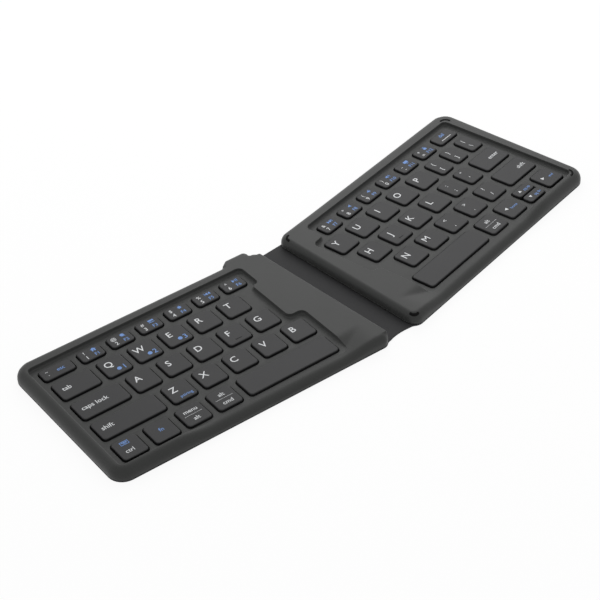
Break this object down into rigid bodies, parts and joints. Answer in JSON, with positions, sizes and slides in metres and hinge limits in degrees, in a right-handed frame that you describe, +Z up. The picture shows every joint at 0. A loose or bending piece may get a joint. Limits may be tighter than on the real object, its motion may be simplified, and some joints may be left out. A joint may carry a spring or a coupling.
{
  "type": "folding keyboard",
  "caption": "Folding keyboard: two splayed halves with sunken scissor keys that close face to face over a flat soft spine.",
  "frame": {"origin": "on the table, under the middle of the open keyboard", "axes": "+X to the typist's right, +Y away from the typist, +Z up out of the keys"},
  "size_m": [0.3168, 0.1106, 0.0072],
  "materials": {
    "cover_skin": "matte soft-touch skin",
    "tray_plastic": "matte",
    "shell_plastic": "fine matte, soft-touch paint",
    "plate_steel": "plain rolled",
    "membrane_film": "printed film",
    "dome_rubber": "matte silicone",
    "lever_plastic": "matte",
    "magnet_metal": "nickel plate",
    "circuit_board": "solder mask",
    "battery_foil": "laminate foil",
    "port_metal": "satin plate",
    "ribbon_film": "satin film",
    "bumper_rubber": "matte",
    "spine_skin": "matte soft-touch skin",
    "key_plastic": "fine matte"
  },
  "bodies": {
    "left_half": {"left_back_cover": "cover_skin", "left_bottom_shell": "tray_plastic", "left_top_shell": "shell_plastic", "left_support_plate": "plate_steel", "left_membrane": "membrane_film", "left_dome_sheet": "dome_rubber", "left_scissor_frames": "lever_plastic", "left_magnets": "magnet_metal", "main_board": "circuit_board", "battery": "battery_foil", "charging_port": "port_metal", "left_cable_end": "ribbon_film"},
    "spine": {"spine_strip": "spine_skin", "flex_cable": "ribbon_film"},
    "right_half": {"right_back_cover": "cover_skin", "right_bottom_shell": "tray_plastic", "right_top_shell": "shell_plastic", "right_support_plate": "plate_steel", "right_membrane": "membrane_film", "right_dome_sheet": "dome_rubber", "right_scissor_frames": "lever_plastic", "right_magnets": "magnet_metal", "link_board": "circuit_board", "right_cable_end": "ribbon_film", "corner_bumpers": "bumper_rubber"},
    "key_q": {"key_q": "key_plastic"},
    "key_w": {"key_w": "key_plastic"},
    "key_e": {"key_e": "key_plastic"},
    "key_r": {"key_r": "key_plastic"},
    "key_t": {"key_t": "key_plastic"},
    "key_a": {"key_a": "key_plastic"},
    "key_s": {"key_s": "key_plastic"},
    "key_d": {"key_d": "key_plastic"},
    "key_f": {"key_f": "key_plastic"},
    "key_g": {"key_g": "key_plastic"},
    "key_z": {"key_z": "key_plastic"},
    "key_x": {"key_x": "key_plastic"},
    "key_c": {"key_c": "key_plastic"},
    "key_v": {"key_v": "key_plastic"},
    "key_b": {"key_b": "key_plastic"},
    "left_space_bar": {"left_space_bar": "key_plastic"},
    "left_number_keys": {"left_number_keys": "key_plastic"},
    "left_modifier_keys": {"left_modifier_keys": "key_plastic"},
    "key_y": {"key_y": "key_plastic"},
    "key_u": {"key_u": "key_plastic"},
    "key_i": {"key_i": "key_plastic"},
    "key_o": {"key_o": "key_plastic"},
    "key_p": {"key_p": "key_plastic"},
    "key_h": {"key_h": "key_plastic"},
    "key_j": {"key_j": "key_plastic"},
    "key_k": {"key_k": "key_plastic"},
    "key_l": {"key_l": "key_plastic"},
    "key_n": {"key_n": "key_plastic"},
    "key_m": {"key_m": "key_plastic"},
    "right_space_bar": {"right_space_bar": "key_plastic"},
    "enter_key": {"enter_key": "key_plastic"},
    "right_number_keys": {"right_number_keys": "key_plastic"},
    "punctuation_keys": {"punctuation_keys": "key_plastic"},
    "right_modifier_keys": {"right_modifier_keys": "key_plastic"},
    "arrow_keys": {"arrow_keys": "key_plastic"}
  },
  "joints": [
    {"name": "left_fold", "type": "hinge", "parent": "left_half", "child": "spine", "pos_m": [-0.00675, 0, 0.0005], "axis": [0, -1, 0], "range_deg": [0, 90]},
    {"name": "right_fold", "type": "hinge", "parent": "spine", "child": "right_half", "pos_m": [0.00675, 0, 0.0005], "axis": [0, -1, 0], "range_deg": [0, 90]},
    {"name": "key_q_press", "type": "slide", "parent": "left_half", "child": "key_q", "axis": [0, 0, -1], "range_m": [0, 0.0012], "stiffness_N_per_m": 150, "springref_m": -0.002},
    {"name": "key_w_press", "type": "slide", "parent": "left_half", "child": "key_w", "axis": [0, 0, -1], "range_m": [0, 0.0012], "stiffness_N_per_m": 150, "springref_m": -0.002},
    {"name": "key_e_press", "type": "slide", "parent": "left_half", "child": "key_e", "axis": [0, 0, -1], "range_m": [0, 0.0012], "stiffness_N_per_m": 150, "springref_m": -0.002},
    {"name": "key_r_press", "type": "slide", "parent": "left_half", "child": "key_r", "axis": [0, 0, -1], "range_m": [0, 0.0012], "stiffness_N_per_m": 150, "springref_m": -0.002},
    {"name": "key_t_press", "type": "slide", "parent": "left_half", "child": "key_t", "axis": [0, 0, -1], "range_m": [0, 0.0012], "stiffness_N_per_m": 150, "springref_m": -0.002},
    {"name": "key_a_press", "type": "slide", "parent": "left_half", "child": "key_a", "axis": [0, 0, -1], "range_m": [0, 0.0012], "stiffness_N_per_m": 150, "springref_m": -0.002},
    {"name": "key_s_press", "type": "slide", "parent": "left_half", "child": "key_s", "axis": [0, 0, -1], "range_m": [0, 0.0012], "stiffness_N_per_m": 150, "springref_m": -0.002},
    {"name": "key_d_press", "type": "slide", "parent": "left_half", "child": "key_d", "axis": [0, 0, -1], "range_m": [0, 0.0012], "stiffness_N_per_m": 150, "springref_m": -0.002},
    {"name": "key_f_press", "type": "slide", "parent": "left_half", "child": "key_f", "axis": [0, 0, -1], "range_m": [0, 0.0012], "stiffness_N_per_m": 150, "springref_m": -0.002},
    {"name": "key_g_press", "type": "slide", "parent": "left_half", "child": "key_g", "axis": [0, 0, -1], "range_m": [0, 0.0012], "stiffness_N_per_m": 150, "springref_m": -0.002},
    {"name": "key_z_press", "type": "slide", "parent": "left_half", "child": "key_z", "axis": [0, 0, -1], "range_m": [0, 0.0012], "stiffness_N_per_m": 150, "springref_m": -0.002},
    {"name": "key_x_press", "type": "slide", "parent": "left_half", "child": "key_x", "axis": [0, 0, -1], "range_m": [0, 0.0012], "stiffness_N_per_m": 150, "springref_m": -0.002},
    {"name": "key_c_press", "type": "slide", "parent": "left_half", "child": "key_c", "axis": [0, 0, -1], "range_m": [0, 0.0012], "stiffness_N_per_m": 150, "springref_m": -0.002},
    {"name": "key_v_press", "type": "slide", "parent": "left_half", "child": "key_v", "axis": [0, 0, -1], "range_m": [0, 0.0012], "stiffness_N_per_m": 150, "springref_m": -0.002},
    {"name": "key_b_press", "type": "slide", "parent": "left_half", "child": "key_b", "axis": [0, 0, -1], "range_m": [0, 0.0012], "stiffness_N_per_m": 150, "springref_m": -0.002},
    {"name": "left_space_bar_press", "type": "slide", "parent": "left_half", "child": "left_space_bar", "axis": [0, 0, -1], "range_m": [0, 0.0012], "stiffness_N_per_m": 150, "springref_m": -0.002},
    {"name": "left_number_keys_press", "type": "slide", "parent": "left_half", "child": "left_number_keys", "axis": [0, 0, -1], "range_m": [0, 0.0012], "stiffness_N_per_m": 400, "springref_m": -0.002},
    {"name": "left_modifier_keys_press", "type": "slide", "parent": "left_half", "child": "left_modifier_keys", "axis": [0, 0, -1], "range_m": [0, 0.0012], "stiffness_N_per_m": 400, "springref_m": -0.002},
    {"name": "key_y_press", "type": "slide", "parent": "right_half", "child": "key_y", "axis": [0, 0, -1], "range_m": [0, 0.0012], "stiffness_N_per_m": 150, "springref_m": -0.002},
    {"name": "key_u_press", "type": "slide", "parent": "right_half", "child": "key_u", "axis": [0, 0, -1], "range_m": [0, 0.0012], "stiffness_N_per_m": 150, "springref_m": -0.002},
    {"name": "key_i_press", "type": "slide", "parent": "right_half", "child": "key_i", "axis": [0, 0, -1], "range_m": [0, 0.0012], "stiffness_N_per_m": 150, "springref_m": -0.002},
    {"name": "key_o_press", "type": "slide", "parent": "right_half", "child": "key_o", "axis": [0, 0, -1], "range_m": [0, 0.0012], "stiffness_N_per_m": 150, "springref_m": -0.002},
    {"name": "key_p_press", "type": "slide", "parent": "right_half", "child": "key_p", "axis": [0, 0, -1], "range_m": [0, 0.0012], "stiffness_N_per_m": 150, "springref_m": -0.002},
    {"name": "key_h_press", "type": "slide", "parent": "right_half", "child": "key_h", "axis": [0, 0, -1], "range_m": [0, 0.0012], "stiffness_N_per_m": 150, "springref_m": -0.002},
    {"name": "key_j_press", "type": "slide", "parent": "right_half", "child": "key_j", "axis": [0, 0, -1], "range_m": [0, 0.0012], "stiffness_N_per_m": 150, "springref_m": -0.002},
    {"name": "key_k_press", "type": "slide", "parent": "right_half", "child": "key_k", "axis": [0, 0, -1], "range_m": [0, 0.0012], "stiffness_N_per_m": 150, "springref_m": -0.002},
    {"name": "key_l_press", "type": "slide", "parent": "right_half", "child": "key_l", "axis": [0, 0, -1], "range_m": [0, 0.0012], "stiffness_N_per_m": 150, "springref_m": -0.002},
    {"name": "key_n_press", "type": "slide", "parent": "right_half", "child": "key_n", "axis": [0, 0, -1], "range_m": [0, 0.0012], "stiffness_N_per_m": 150, "springref_m": -0.002},
    {"name": "key_m_press", "type": "slide", "parent": "right_half", "child": "key_m", "axis": [0, 0, -1], "range_m": [0, 0.0012], "stiffness_N_per_m": 150, "springref_m": -0.002},
    {"name": "right_space_bar_press", "type": "slide", "parent": "right_half", "child": "right_space_bar", "axis": [0, 0, -1], "range_m": [0, 0.0012], "stiffness_N_per_m": 150, "springref_m": -0.002},
    {"name": "enter_key_press", "type": "slide", "parent": "right_half", "child": "enter_key", "axis": [0, 0, -1], "range_m": [0, 0.0012], "stiffness_N_per_m": 150, "springref_m": -0.002},
    {"name": "right_number_keys_press", "type": "slide", "parent": "right_half", "child": "right_number_keys", "axis": [0, 0, -1], "range_m": [0, 0.0012], "stiffness_N_per_m": 400, "springref_m": -0.002},
    {"name": "punctuation_keys_press", "type": "slide", "parent": "right_half", "child": "punctuation_keys", "axis": [0, 0, -1], "range_m": [0, 0.0012], "stiffness_N_per_m": 400, "springref_m": -0.002},
    {"name": "right_modifier_keys_press", "type": "slide", "parent": "right_half", "child": "right_modifier_keys", "axis": [0, 0, -1], "range_m": [0, 0.0012], "stiffness_N_per_m": 400, "springref_m": -0.002},
    {"name": "arrow_keys_press", "type": "slide", "parent": "right_half", "child": "arrow_keys", "axis": [0, 0, -1], "range_m": [0, 0.0012], "stiffness_N_per_m": 400, "springref_m": -0.002}
  ],
  "couplings": [
    {"joint": "right_fold", "follows": "left_fold", "ratio": 1}
  ]
}
